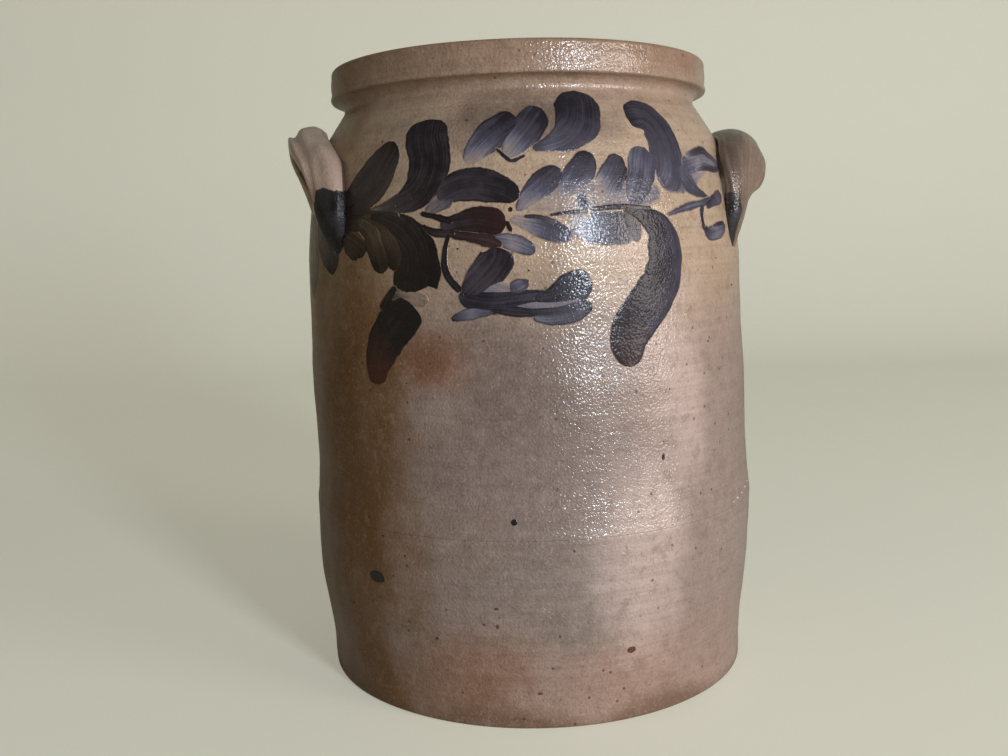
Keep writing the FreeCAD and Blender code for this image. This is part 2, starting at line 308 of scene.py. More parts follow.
def stoneware_group():
    """Colour, gloss and fine relief of the salt-glazed clay, from places in space."""
    group = bpy.data.node_groups.new("salt_glazed_clay", "ShaderNodeTree")
    for name, kind in (("Colour", "NodeSocketColor"), ("Roughness", "NodeSocketFloat"),
                       ("Height", "NodeSocketFloat"), ("Glassy", "NodeSocketFloat")):
        group.interface.new_socket(name, in_out="OUTPUT", socket_type=kind)
    s = Shader(group)
    where = s.place()
    x, y, z = s.add("SeparateXYZ", {0: where}).outputs
    turn = s.math("ARCTAN2", x, s.times(y, -1.0))

    cloud = s.noise(where, 13, 4)
    drift = s.noise(where, 34, 3, (1, 1, 0.6))
    level = s.scaled(s.centred(cloud), 0.16, s.math("DIVIDE", z, JAR_HEIGHT * MM))
    colour = s.ramp(level, BANDS)
    # Each patch mixes in a flame mark, a painted glow or painted shade.
    for azimuth, height, half_width, half_height, patch_tone, strength in STAINS_AND_PAINTED_LIGHT:
        aside = s.math("SUBTRACT", turn, math.radians(azimuth))
        aside = s.math("WRAP", aside, math.pi, -math.pi)
        aside = s.times(aside, WALL_RADIUS / half_width)
        up = s.math("DIVIDE", s.math("SUBTRACT", z, height * MM), half_height * MM)
        away = s.math("SQRT", s.math("ADD", s.times(aside, aside), s.times(up, up)))
        away = s.scaled(s.centred(drift), 1.5, away)
        colour = s.mix(s.fade(away, 1.35, 0.25, 0.0, strength), colour, patch_tone)

    rings = s.noise(where, 1.0, 4, (9, 9, 330), 0.6)
    mottle = s.noise(where, 120, 4, roughness=0.65)
    grain = s.noise(where, 520, 3, roughness=0.7)
    for value, low, high, strength, tone in (
            (rings, 0.40, 0.68, 0.20, srgb(112, 84, 64)),
            (mottle, 0.48, 0.72, 0.14, srgb(206, 184, 168)),
            (mottle, 0.50, 0.30, 0.34, srgb(110, 88, 74)),
            (grain, 0.52, 0.74, 0.20, srgb(214, 196, 180)),
            (grain, 0.46, 0.28, 0.40, srgb(88, 66, 52))):
        colour = s.mix(s.fade(value, low, high, 0.0, strength), colour, tone)
    specks = s.add("TexVoronoi", {"Vector": where, "Scale": 230.0, "Randomness": 1.0})
    lot = s.add("SeparateColor", {0: specks.outputs["Color"]}).outputs[0]
    chosen = s.math("GREATER_THAN", lot, 0.95)
    speck = s.times(s.fade(specks.outputs["Distance"], 0.30, 0.12), chosen)
    colour = s.mix(s.times(speck, 0.75), colour, srgb(62, 42, 32))

    cells = s.add("TexVoronoi", {"Vector": where, "Scale": 720.0, "Smoothness": 0.6,
                                 "Randomness": 1.0}, feature="SMOOTH_F1").outputs["Distance"]
    peel = s.noise(where, 600, 1.5, roughness=0.4)
    fine = s.noise(where, 1150, 2)
    wheel = s.noise(where, 1.0, 3, (14, 14, 620))
    relief = s.scaled(fine, 0.18, peel)
    relief = s.scaled(cells, -0.9, relief)
    relief = s.scaled(wheel, 0.30, relief)
    gloss = s.scaled(mottle, 0.22, s.scaled(cloud, 0.20, 0.20))

    from_dry_side = s.math("ABSOLUTE", s.math("SUBTRACT", turn, math.radians(DRY_AZIMUTH)))
    glassy = s.fade(from_dry_side, 0.35, 0.95, 0.22, 0.75)

    out = group.nodes.new("NodeGroupOutput")
    for socket, value in zip(out.inputs, (colour, gloss, relief, glassy)):
        group.links.new(value, socket)
    return group


def new_material(name):
    material = bpy.data.materials.new(name)
    material.use_nodes = True
    tree = material.node_tree
    tree.nodes.clear()
    shader = Shader(tree)
    surface = shader.add("BsdfPrincipled")
    out = tree.nodes.new("ShaderNodeOutputMaterial")
    tree.links.new(surface.outputs[0], out.inputs["Surface"])
    return material, shader, surface


def clay(shader):
    node = shader.add("Group")
    node.node_tree = CLAY
    return node.outputs


def finish(shader, surface, colour, roughness, height, relief, coat, coat_roughness,
           specular=0.3):
    """Wire a surface. relief is the bump's real depth in metres, and coat its glassy layer."""
    bump = shader.add("Bump", {"Height": height, "Distance": relief, "Strength": 1.0}).outputs[0]
    for name, value in (("Base Color", colour), ("Roughness", roughness), ("Normal", bump),
                        ("Coat Normal", bump), ("Coat Weight", coat),
                        ("Coat Roughness", coat_roughness), ("Coat IOR", GLASS_IOR),
                        ("IOR", GLASS_IOR), ("Specular IOR Level", specular)):
        shader.plug(value, surface.inputs[name])


def glaze_material():
    """The outside wall and rim."""
    material, s, surface = new_material("salt_glaze")
    colour, gloss, height, glassy = clay(s)
    finish(s, surface, colour, gloss, height, 0.00024, glassy, 0.05)
    return material


def bare_material():
    """Inside and underneath, which the salt vapour hardly reached."""
    material, s, surface = new_material("dry_clay")
    colour, _, height, _ = clay(s)
    where = s.place()
    wash = s.noise(where, 26, 4, (1, 1, 3))
    colour = s.mix(s.fade(wash, 0.3, 0.7, 0.45, 0.8), colour, srgb(128, 92, 66))
    finish(s, surface, colour, 0.68, height, 0.00016, 0.08, 0.4)
    return material


def handle_material():
    """The straps: the same clay, flashed and streaked along their length, with painted shade
    beneath the left strap and along the right strap's side by the wall.
    """
    material, s, surface = new_material("strap_glaze")
    colour, gloss, height, _ = clay(s)
    along, across, left, paint = map(s.field, ("along", "across", "left", "paint"))
    where = s.add("CombineXYZ", {0: s.times(along, 0.018), 1: s.times(across, 7.0),
                                 2: s.times(left, 5.0)}).outputs[0]
    streak = s.noise(where, 1.0, 4, roughness=0.65)
    flashed = s.mix(left, srgb(92, 74, 66), srgb(198, 170, 156))
    colour = s.mix(0.72, colour, flashed)
    # Painted shade on the left strap's lower and inner faces, over its browner bare clay.
    underside_shade = s.times(s.fade(across, 1.1, 1.4, 0.0, 0.85), left)
    colour = s.mix(underside_shade, colour, srgb(58, 38, 27))
    right = s.math("SUBTRACT", 1.0, left)
    # Painted shade on the right strap's side next to the wall, darkening towards it.
    wall_side_shade = s.times(s.fade(across, 0.0, -0.9, 0.0, 0.6), right)
    colour = s.mix(wall_side_shade, colour, srgb(62, 46, 38))
    drawn = s.scaled(left, -0.35, 0.6)
    pale = s.times(drawn, s.fade(streak, 0.45, 0.70, 0.0, 0.28))
    deep = s.times(drawn, s.fade(streak, 0.50, 0.30, 0.0, 0.40))
    colour = s.mix(pale, colour, srgb(200, 178, 164))
    colour = s.mix(deep, colour, srgb(92, 70, 57))
    blot = s.noise(s.place(), 95, 3)
    painted = s.fade(s.scaled(s.centred(blot), 1.5, paint), 0.40, 0.62)
    cobalt = s.mix(s.fade(blot, 0.35, 0.65), srgb(26, 21, 22), srgb(52, 48, 54))
    colour = s.mix(painted, colour, cobalt)
    height = s.scaled(s.times(streak, drawn), 0.6, height)
    sheen = s.scaled(s.times(painted, left), -0.56, 0.6)
    finish(s, surface, colour, gloss, height, 0.00026, sheen, 0.08)
    return material


def cobalt_material():
    """Brushed cobalt slip: dense where it pooled, washed out where the brush ran dry."""
    material, s, surface = new_material("brushed_cobalt")
    colour, gloss, height, _ = clay(s)
    ink, edge, soft, warm = map(s.field, ("ink", "edge", "soft", "warm"))
    where = s.place()
    bristles = s.add("CombineXYZ", {0: s.times(s.field("along"), 0.020),
                                    1: s.times(s.field("aside"), 0.75),
                                    2: s.times(s.field("seed"), 9.7)}).outputs[0]
    hairs = s.centred(s.noise(bristles, 1.0, 4, roughness=0.62))
    blot = s.noise(where, 105, 4, roughness=0.6)
    ragged = s.scaled(s.centred(s.noise(where, 380, 2)), 1.2, edge)
    run = s.fade(s.noise(where, 38, 2), 0.42, 0.58)
    rim = s.times(s.fade(ragged, 1.9, 0.6, 0.0, 0.30), s.fade(soft, 2.2, 1.2))
    rim = s.times(rim, run)
    wet = s.scaled(s.centred(blot), 0.45, ink)
    load = s.math("MULTIPLY_ADD", hairs, 0.72, s.math("ADD", wet, rim), clamp=True)

    wash = s.mix(warm, srgb(109, 109, 125), srgb(104, 88, 66))
    body = s.mix(warm, srgb(70, 65, 76), srgb(64, 50, 41))
    pool = s.mix(warm, srgb(35, 31, 38), srgb(28, 20, 17))
    paint = s.mix(s.fade(load, 0.20, 0.62), wash, body)
    paint = s.mix(s.fade(load, 0.58, 1.00), paint, pool)
    rust = s.times(s.field("rust"), s.fade(blot, 0.28, 0.55, 0.75, 1.0))
    paint = s.mix(rust, paint, srgb(74, 38, 27))
    fringe = s.fade(s.math("DIVIDE", ragged, soft), 0.0, 1.0)
    thin = s.math("ADD", s.scaled(hairs, 0.5, wet), rim)
    cover = s.times(s.fade(thin, -0.15, 0.45), fringe)
    colour = s.mix(cover, colour, paint)
    height = s.scaled(hairs, 0.8, height)
    finish(s, surface, colour, gloss, height, 0.00014, s.field("shine"), 0.05, specular=0.1)
    return material


def plain_glaze(name, deep, pale, coat):
    """A small mark of one kind of melt or scar, with its own two tones."""
    material, s, surface = new_material(name)
    where = s.place()
    tone = s.noise(where, 700, 3)
    colour = s.mix(s.fade(tone, 0.35, 0.65), deep, pale)
    finish(s, surface, colour, 0.32, tone, 0.0001, coat, 0.08)
    return material


CLAY = stoneware_group()
GLAZE, BARE = glaze_material(), bare_material()
STRAP, COBALT = handle_material(), cobalt_material()
# The pits' near-black is painted shade that stands in for their depth.
PIT_SHADE = plain_glaze("pit_shade", srgb(16, 12, 11), srgb(34, 26, 22), 0.5)
BROWN_SPOT = plain_glaze("iron_spot", srgb(74, 46, 32), srgb(112, 74, 52), 0.5)
PALE_DRIP = plain_glaze("salt_drip", srgb(206, 198, 188), srgb(236, 230, 222), 1.0)


# ---- the two thrown sections

COLUMNS = 400
ROW_STEP = 1.9
INCISED_FROM, INCISED_TO = 361, 371  # rows lie closer between these heights
NECK_TOP = 377


def spaced(start, end, step):
    count = max(1, round(abs(end - start) / step))
    return [start + (end - start) * index / count for index in range(count)]


def turned_piece(name, rows, materials, replaces, close_axis=False):
    """A surface turned on the wheel: each row is a function of azimuth giving a point."""
    points = [row(360 * column / COLUMNS) for row in rows for column in range(COLUMNS)]
    faces = grid_faces(len(rows), COLUMNS, wrap=True)
    if close_axis:
        for row, flip in ((0, True), (len(rows) - 1, False)):
            ring = [row * COLUMNS + column for column in range(COLUMNS)]
            points.append(sum((points[i] for i in ring), Vector()) / COLUMNS)
            for a, b in zip(ring, ring[1:] + ring[:1]):
                faces.append((b, a, len(points) - 1) if flip else (a, b, len(points) - 1))
    else:
        last = (len(rows) - 1) * COLUMNS
        for column in range(COLUMNS):
            beside = (column + 1) % COLUMNS
            faces.append((last + column, last + beside, beside, column))
    piece = make_mesh(name, points, faces, GLAZE)
    piece.data.materials.append(BARE)
    for polygon in piece.data.polygons:
        polygon.material_index = materials(polygon.vertices[0] // COLUMNS)
    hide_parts(replaces)


def outside_row(height, lift=0.0):
    return lambda azimuth: skin(azimuth, height, lift)


def wall_rows(start, end, step):
    return [outside_row(height) for height in spaced(start, end, step)]


def plain_row(radius, height, waver=0.25):
    """A row at its own radius, with the slight unevenness of a thrown surface."""
    def point(azimuth):
        turn = math.radians(azimuth)
        uneven = noise.noise(Vector((math.cos(turn) * 2.2, math.sin(turn) * 2.2,
                                     height / 22 + radius / 9)))
        return at_radius(azimuth, height, radius + waver * uneven)
    return point


def inside_row(height, radius):
    """The inside wall, with the spiral ridges that the fingers left."""
    def point(azimuth):
        ridges = 0.9 * math.sin(height / 2.6 + math.radians(azimuth))
        return at_radius(azimuth, height, radius + ridges)
    return point


# Height and inside radius.
INSIDE = curve_through([(14, 112), (17, 124), (23, 132), (34, 136.4), (117, 137), (292, 136.3),
                        (333, 127), (358, 114), (372, 108.9), (400, 108.8)])


def lower_section():
    rows = [plain_row(radius, 1.6, 0.0) for radius in spaced(12, 136, 12)]
    underside_rows = len(rows)
    rows += [plain_row(139, 0.7), plain_row(141, 0.15, 0.1), plain_row(142.4, 0.3)]
    rows += [outside_row(height) for height in (0.9, 2.0, 3.4, 5)]
    rows += wall_rows(6.5, SEAM_HEIGHT - 1.2, ROW_STEP)
    rows += [outside_row(SEAM_HEIGHT - 0.6), outside_row(SEAM_HEIGHT - 0.25),
             outside_row(SEAM_HEIGHT - 0.02, -SEAM_LINE)]
    outside_rows = len(rows)
    rows += [plain_row(148.5, SEAM_HEIGHT - 0.3), plain_row(141, SEAM_HEIGHT - 0.6)]
    rows += [inside_row(height, INSIDE(height)) for height in spaced(SEAM_HEIGHT - 0.4, 16, 3)]
    rows += [plain_row(radius, 14.4, 0.6) for radius in spaced(104, 6, 7)]
    turned_piece("lower_body", rows,
                 lambda row: 0 if underside_rows <= row < outside_rows else 1,
                 "lower_section", close_axis=True)


def rim_corner(centre_radius, centre_height, from_angle, to_angle, steps):
    """Rows round a rim corner. Angles are from outwards, turning up."""
    rows = []
    for step in range(steps + 1):
        angle = math.radians(from_angle + (to_angle - from_angle) * step / steps)
        rows.append(plain_row(centre_radius + RIM_ROUND * math.cos(angle),
                              centre_height + RIM_ROUND * math.sin(angle), 0.5))
    return rows


def upper_section():
    rows = [outside_row(SEAM_HEIGHT + 0.02, -SEAM_LINE), outside_row(SEAM_HEIGHT + 0.25),
            outside_row(SEAM_HEIGHT + 0.7)]
    rows += wall_rows(SEAM_HEIGHT + 1.8, INCISED_FROM, ROW_STEP)
    rows += wall_rows(INCISED_FROM, INCISED_TO, 0.5)
    rows += wall_rows(INCISED_TO, NECK_TOP, 1.0)
    rows += [plain_row(118.4, 378.4, 0.3), plain_row(120.2, 379.6, 0.4),
             plain_row(122.2, 380.7, 0.5)]
    rows += rim_corner(RIM_OUTER - RIM_ROUND * 0.6, 382.2, -60, 0, 3)[1:]
    rows += [plain_row(RIM_OUTER + 0.5 * math.sin((height - 384) / 3.6), height, 0.5)
             for height in spaced(385, 396.5, 1.3)]
    rows += rim_corner(RIM_OUTER - RIM_ROUND, JAR_HEIGHT - 0.3 - RIM_ROUND, 0, 90, 6)
    rows += [plain_row(radius, JAR_HEIGHT - 0.25, 0.3) for radius in spaced(120, 113, 1.8)]
    rows += rim_corner(RIM_INNER + RIM_ROUND, JAR_HEIGHT - 0.4 - RIM_ROUND, 90, 180, 6)
    outside_rows = len(rows)
    rows += [inside_row(height, INSIDE(height)) for height in spaced(394, SEAM_HEIGHT + 1, 2.6)]
    rows += [plain_row(141, SEAM_HEIGHT + 0.3), plain_row(148.5, SEAM_HEIGHT + 0.3)]
    turned_piece("upper_body", rows, lambda row: 0 if row < outside_rows else 1,
                 "upper_section")


# ---- the two strap handles

STRAP_POINTS = 44
ARCH_STEPS, TAIL_STEPS = 84, 14


def strap_handle(name, node, side, middle, half, gather, foot, crest, widths, thick, tilt,
                 fullness, bow, ridge, lumps, tail, flare, paint):
    """A pulled strap, arched and leaning out, smeared on to the wall at both feet.

    side is 1 on the right and -1 on the left. middle and half are degrees round
    the jar, and gather is how evenly the strap spreads from its crest to its feet.
    foot and crest are a height and how far the strap's middle stands out from the
    wall. widths are at the foot, part way up a leg and at the crest, and thick is
    at the foot and the crest. tilt is how far it leans out, in degrees, fullness
    how square its section is, and lumps how uneven it is. bow rounds the strap's
    face, and ridge is the height of the finger-drawn edge. tail is how far it is
    smeared down, and flare is how much further out the front leg and the back leg
    stand, half way up. paint is the height that the cobalt on its feet reaches and
    how far across it reaches.
    """
    width_at = curve_through([(0, widths[0]), (0.3, widths[1]), (1, widths[2])])
    lean = math.radians(tilt)
    stations = []
    steps = [(-1, step / TAIL_STEPS) for step in range(TAIL_STEPS, 0, -1)]
    steps += [(2 * step / ARCH_STEPS - 1, 0.0) for step in range(ARCH_STEPS + 1)]
    steps += [(1, step / TAIL_STEPS) for step in range(1, TAIL_STEPS + 1)]
    for sweep_share, down in steps:
        angle = math.radians(90 * sweep_share)
        share, sweep = max(0.0, math.cos(angle)), math.sin(angle)
        front = 1 if sweep >= 0 else -1
        azimuth = side * (middle - half * (gather * sweep + (1 - gather) * sweep ** 3))
        height = foot[0] + (crest[0] - foot[0]) * share ** 0.6 - tail * down
        stand = foot[1] + (crest[1] - foot[1]) * share ** 0.6
        stand += flare[0 if front > 0 else 1] * 4 * share * (1 - share)
        wide = width_at(share) * (1 - down ** 1.5) + 3 * down
        deep = (thick[0] + (thick[1] - thick[0]) * share) * (1 - down) + 1.2 * down
        out = outward(azimuth)
        round_way = Vector((-out.y, out.x, 0)) * side * front
        twist = math.pi / 2 * share ** 0.8
        across = ((out * math.cos(lean) - Vector((0, 0, math.sin(lean)))) * math.sin(twist)
                  + round_way * math.cos(twist))
        stations.append((skin(azimuth, height, stand * (1 - down) - 0.9 * down), across, wide,
                         deep, share, out))
    points, fields = [], {"along": [], "across": [], "left": [], "paint": []}
    travelled = 0.0
    for index, (centre, across, wide, deep, share, out) in enumerate(stations):
        before = stations[max(index - 1, 0)][0]
        after = stations[min(index + 1, len(stations) - 1)][0]
        along = (after - before).normalized()
        across = (across - along * across.dot(along)).normalized()
        face = along.cross(across)
        if face.dot(out * (1 - share) + Vector((0, 0, share))) < 0:
            face = -face
        travelled += (centre - before).length / MM
        drawn = share ** 0.4
        for step in range(STRAP_POINTS):
            turn = 2 * math.pi * step / STRAP_POINTS
            c, s = math.cos(turn), math.sin(turn)
            reach = (abs(c) ** fullness + abs(s) ** fullness) ** (-1 / fullness)
            aside, up = c * reach * wide / 2, s * reach * deep / 2
            up += bow * share * (0.4 - (c * reach) ** 2)
            if s > 0:
                up += ridge * drawn * (bell(c - 0.84, 0.15) - bell(c - 0.50, 0.17)
                                       - 0.5 * bell(c - 0.9, 0.5)) * s
            lump = noise.noise(Vector((travelled / 13, c * 1.4 + side * 3, s * 1.2)))
            point = centre + (across * aside + face * (up + lumps * lump * drawn)) * MM
            height = point.z / MM
            from_axis = point - axis_at(height)
            azimuth = math.degrees(math.atan2(from_axis.x, -from_axis.y))
            stand = (from_axis.xy.length / MM - outer_radius(height)
                     - throwing_marks(azimuth, height))
            smear = 3.4 * (1 - share) ** 3 * math.exp(-max(stand, 0) / 2.4)
            point = point + across * smear * math.copysign(abs(c) ** 0.6, c) * MM
            points.append(point)
            reach_up = paint[0] - 4 * (1 + c) * max(side, 0) - height
            reach_across = paint[1] + max(-side, 0) * (paint[0] - height) / 28 - c
            painted = clamped(reach_up / 6) * clamped(reach_across / 0.5)
            for key, value in zip(fields, (travelled, c if s > 0 else 2 - c,
                                           0.0 if side > 0 else 1.0, painted)):
                fields[key].append(value)
    faces = grid_faces(len(stations), STRAP_POINTS, wrap=True)
    for row in (0, len(stations) - 1):
        ring = [row * STRAP_POINTS + step for step in range(STRAP_POINTS)]
        faces.append(tuple(ring if row == 0 else reversed(ring)))
    piece = make_mesh(name, points, faces, STRAP, fields)
    face_outwards(piece.data)
    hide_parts(node)


def face_outwards(mesh):
    """Turn all faces of a closed mesh to face away from its inside."""
    turned = bmesh.new()
    turned.from_mesh(mesh)
    bmesh.ops.recalc_face_normals(turned, faces=turned.faces)
    turned.to_mesh(mesh)
    turned.free()


# ---- cobalt brushwork

ACROSS = 15
FIRST_LIFT = 0.05
PATH_STEPS = 14
ROUND_END = 2.2  # the power that shapes a stroke's ends
strokes_laid = 0


def brush_stroke(name, path, soft=0.9, warm=0.0, rust=(0.0, 0.0), dark_side=0.0, blunt=1.0,
                 shine=0.45):
    """One loaded brush stroke on the wall.

    The path's points are azimuth, height, width in mm and how much cobalt the
    brush still held, from 0 to 1. soft is how far its edge fades, and it widens
    the stroke by as much. warm turns it brown, and rust is how red-brown it
    burned at its start and its end. dark_side is which side the cobalt ran to:
    1 is the left of its travel. Both ends are round, or squarer where blunt is
    less than 1. shine is how glassy it melted.
    """
    global strokes_laid
    strokes_laid += 1
    lift = FIRST_LIFT + LIFT_PER_LAYER * strokes_laid
    per_degree = math.radians(outer_radius(path[len(path) // 2][1]))
    flat = smooth_path([(a * per_degree, z, w + soft, i) for a, z, w, i in path], PATH_STEPS)
    for end, inner in ((0, 1), (-1, -2)):
        ahead = Vector(flat[end][:2]) - Vector(flat[inner][:2])
        tip = Vector(flat[end][:2]) + ahead.normalized() * (1.0 + 0.6 * soft)
        flat.insert(0 if end == 0 else len(flat), (*tip, *flat[end][2:]))
    travelled = [0.0]
    for here, there in zip(flat, flat[1:]):
        travelled.append(travelled[-1] + math.hypot(there[0] - here[0], there[1] - here[1]))
    length = travelled[-1]
    points = []
    fields = {key: [] for key in ("ink", "edge", "soft", "warm", "rust", "along", "aside", "seed",
                                "shine")}
    columns = [math.sin(math.pi / 2 * (2 * j / (ACROSS - 1) - 1)) for j in range(ACROSS)]
    for index, (s, z, width, ink) in enumerate(flat):
        back, ahead = flat[max(index - 2, 0)], flat[min(index + 2, len(flat) - 1)]
        run = math.hypot(ahead[0] - back[0], ahead[1] - back[1])
        side = (-(ahead[1] - back[1]) / run, (ahead[0] - back[0]) / run)
        along = travelled[index]
        half = max(width, 0.5) / 2
        for gap, round_end in ((along, blunt * flat[0][2] / 2),
                               (length - along, blunt * flat[-1][2] / 2)):
            if gap < round_end:
                half *= max(0.02, (1 - (1 - gap / round_end) ** ROUND_END) ** (1 / ROUND_END))
        waver = [1 + 0.07 * noise.noise(Vector((along / 6, strokes_laid * 3.7, side_seed)))
                 for side_seed in (0.3, 7.7)]
        for v in columns:
            out = half * v * (waver[0] * (1 + v) + waver[1] * (1 - v)) / 2
            rise = lift * (1 - abs(v) ** 6) + 0.05 * abs(v) ** 3 * (1 - abs(v) ** 8) - 0.02
            points.append(skin((s + side[0] * out) / per_degree, z + side[1] * out, rise))
            edge = min((1 - abs(v)) * half, along + 0.3, length - along + 0.3)
            for key, value in zip(fields, (ink + 0.35 * dark_side * v, edge, soft, warm,
                                           rust[0] + (rust[1] - rust[0]) * along / length, along,
                                           half * v, float(strokes_laid % 17), shine)):
                fields[key].append(value)
    faces = grid_faces(len(flat), ACROSS, wrap=False)
    make_mesh(name, points, faces, COBALT, fields)


def front_vine():
    """The leafy swag across the front, in the order in which it was brushed."""
    lay = brush_stroke
    lay("wash_1", [(-8.5, 298.5, 4, .15), (-5, 296.5, 9, .3), (-1.5, 294, 13, .55),
        (1.8, 290.5, 11, .6), (4, 288.5, 6, .5)], 1.5)
    lay("wash_1_top", [(-5.8, 300.3, 2, .8), (-2.5, 299.5, 3, .7), (0.5, 297, 3, .5)], 0.8)
    lay("wash_2", [(4.5, 296, 12, .25), (9, 293.5, 18, .4), (14, 293, 19.5, .55),
        (18.5, 293, 18, .7), (20.5, 291, 14, .7)], 1.6, shine=0.6)
    lay("wash_pale", [(1, 306, 8, .12), (4, 303, 9, .18), (8, 300, 8, .2)], 3.0)
    lay("wash_between", [(-5, 308, 9, .08), (2, 309.5, 14, .15), (9, 311, 17, .22),
        (16, 311, 16, .25), (22, 311, 14, .3), (27, 313, 8, .3)], 4.0)
    lay("wash_right", [(28, 322, 16, .4), (33, 323, 22, .4), (38, 324, 20, .35),
        (43, 328, 14, .25), (48, 331, 10, .2)], 3.0)
    lay("wash_top", [(18, 303.5, 8, .9), (18.7, 297, 10, .85), (19.5, 290, 9, .7),
        (20, 286, 6, .6)], 1.4)
    lay("leaf_c1", [(-7.3, 304.5, 4, .3), (-5.2, 310, 10, .25), (-2.2, 316.5, 15, .55),
        (0.8, 322, 14, .7), (2.4, 325, 10, .75)], 1.0, dark_side=0.4)
    lay("leaf_c2", [(2.8, 307.5, 8, .08), (4.2, 314, 15, .22), (6.8, 322.5, 17, .5),
        (9, 330, 14, .75), (10.3, 333.5, 9, .85)], 1.0, dark_side=0.3)
    lay("link_wash", [(7.2, 313, 4, .3), (7.2, 308, 6, .6), (7.8, 303.5, 5, .6)], 1.6)
    lay("leaf_c3", [(11.5, 308, 9, .12), (13.3, 315, 17, .28), (15.5, 323, 17, .6),
        (17.2, 329.5, 13, .75), (18, 331.5, 9, .8)], 1.0, dark_side=-0.35)
    lay("leaf_b2_wash", [(38, 328, 12, .5), (42, 330, 12, .35), (47, 332.5, 13, .28),
        (52, 332, 11, .35), (57, 330.5, 5, .5)], 2.2)
    lay("leaf_b2_crest", [(40, 334.5, 3, .3), (44.5, 337, 5, .75), (49, 338.6, 5.5, .8),
        (52.5, 335.5, 5, .6), (56, 333.5, 3.5, .5), (58.5, 331.5, 2.5, .4)], 1.6)
    lay("leaf_b2_foot", [(43, 326.5, 3, .3), (48, 327.8, 4, .65), (53, 327.5, 4.5, .75),
        (57.5, 329, 3, .5)], 1.4)
    lay("leaf_b3", [(36, 327, 13, .5), (37.8, 319.5, 14, .5), (40.5, 314, 8, .55),
        (43.5, 311.5, 4, .7), (46, 309, 3, .6)], 1.3)
    lay("leaf_b1", [(22.9, 356.3, 14, .85), (27.2, 357.5, 19, .8), (30.2, 353.5, 24, .75),
        (32.2, 344, 26, .7), (32.6, 333, 26, .62), (31.8, 324, 25, .52), (29.6, 317.5, 18, .5)],
        blunt=0.7)
    lay("leaf_c4", [(19.3, 306, 8, .5), (21.2, 314.5, 16, .45), (23, 322.5, 19, .5),
        (24.2, 331.5, 19, .5), (25.3, 337, 12, .55)], 0.8, dark_side=-0.2)
    lay("leaf_a1", [(-18.7, 331.5, 8, .12), (-16.8, 338, 14, .3), (-13.6, 345.5, 18, .6),
        (-10, 352, 16, .85), (-7.8, 355.5, 12, .9)], dark_side=0.25)
    lay("leaf_a2", [(-9.8, 334.5, 7, .15), (-7.5, 341, 14, .3), (-4.5, 349, 18, .7),
        (-1.8, 357, 16, .85), (-0.9, 359.5, 13, .9)], dark_side=-0.2)
    lay("leaf_a2_edge", [(-12, 338, 1.6, .9), (-10.2, 334, 2.2, .95), (-8.4, 331.2, 2.2, .9),
        (-5.6, 333.5, 1.6, .8)], 0.6)
    lay("leaf_a3", [(9.2, 370, 26, .95), (9, 361, 29, .9), (7.8, 352, 27, .8),
        (4.8, 344.5, 19, .6), (1, 340.5, 10, .5), (-3, 338, 4, .7)], dark_side=-0.25, blunt=0.75)
    lay("leaf_d1", [(-39.6, 344.5, 13, .85), (-41.3, 336, 22, .7), (-44.2, 325.5, 27, .6),
        (-49, 316.5, 25, .65), (-54.3, 309.5, 14, .8)], warm=0.7, dark_side=0.15)
    lay("leaf_d2_foot", [(-33, 312, 13, .7), (-38, 308, 10, .5), (-42.5, 306, 6, .35),
        (-48, 305, 3, .25)], 1.2, warm=0.6)
    lay("leaf_d2", [(-30.2, 356, 27, .9), (-30, 346, 29, .85), (-28.6, 335, 27, .9),
        (-29, 324, 26, .85), (-31.5, 315, 20, .85), (-36, 309, 11, .7)], warm=0.45, blunt=0.6)
    lay("leaf_d3_base", [(-28, 304.5, 5, .3), (-25.5, 309, 10, .35), (-23, 313.5, 14, .5)], 1.4,
        warm=0.4)
    lay("leaf_d3", [(-25.3, 312, 10, .5), (-23, 316, 15, .7), (-19.5, 318.7, 18.5, .75),
        (-14.5, 318, 18.5, .8), (-10, 314.5, 14, .9), (-7.5, 311, 9, .9)], warm=0.3,
        dark_side=0.15)
    lay("hub", [(-55.5, 302, 16, .75), (-51, 302, 17, .7), (-46, 302.5, 13, .65),
        (-40, 303, 7, .7), (-36, 303, 4, .7)], 1.2, warm=0.9)
    lay("finger_3", [(-46, 303, 6, .5), (-40.5, 300, 11, .5), (-38, 291, 13, .5),
        (-36.8, 281, 13, .8), (-37, 273, 10, .9)], 0.8, 1.0, dark_side=-0.3)
    lay("finger_2", [(-48.5, 300.5, 8, .5), (-44.5, 295, 12, .45), (-42.6, 286, 14, .55),
        (-41, 277, 14, .85), (-40.3, 271.5, 10, .9)], 0.8, 1.0, dark_side=-0.35)
    lay("finger_1", [(-53.5, 290, 13, .65), (-50.5, 287.5, 17, .55), (-47.5, 283.5, 14, .8),
        (-46.8, 281, 10, .85)], 0.8, 1.0, dark_side=-0.3)
    lay("bough_gap", [(-38, 257.5, 9, .5), (-33.5, 257, 10, .12), (-29, 254.5, 6, .15)], 1.6, 0.8)
    lay("bough_upper", [(-44, 303, 4, .9), (-39.5, 300.8, 9, .85), (-34.8, 295, 18, .9),
        (-31.3, 284.5, 25, .92), (-30.8, 273, 29, .95), (-31.8, 265, 29, 1.0),
        (-31.5, 261, 27, .95)], warm=0.7, blunt=0.3)
    lay("bough_lower", [(-33.5, 253, 25, 1.0), (-36, 245, 28, 1.0), (-39.2, 236, 26, .95),
        (-42, 226, 24, .9), (-43.3, 216, 19, .85), (-43.2, 206.5, 12, .9)], warm=0.7,
        rust=(-0.8, 1.1), blunt=0.5)
    lay("bough_edge", [(-37, 262, 4, .9), (-39, 256, 6, .9), (-41, 250, 6, .9)], warm=0.85)
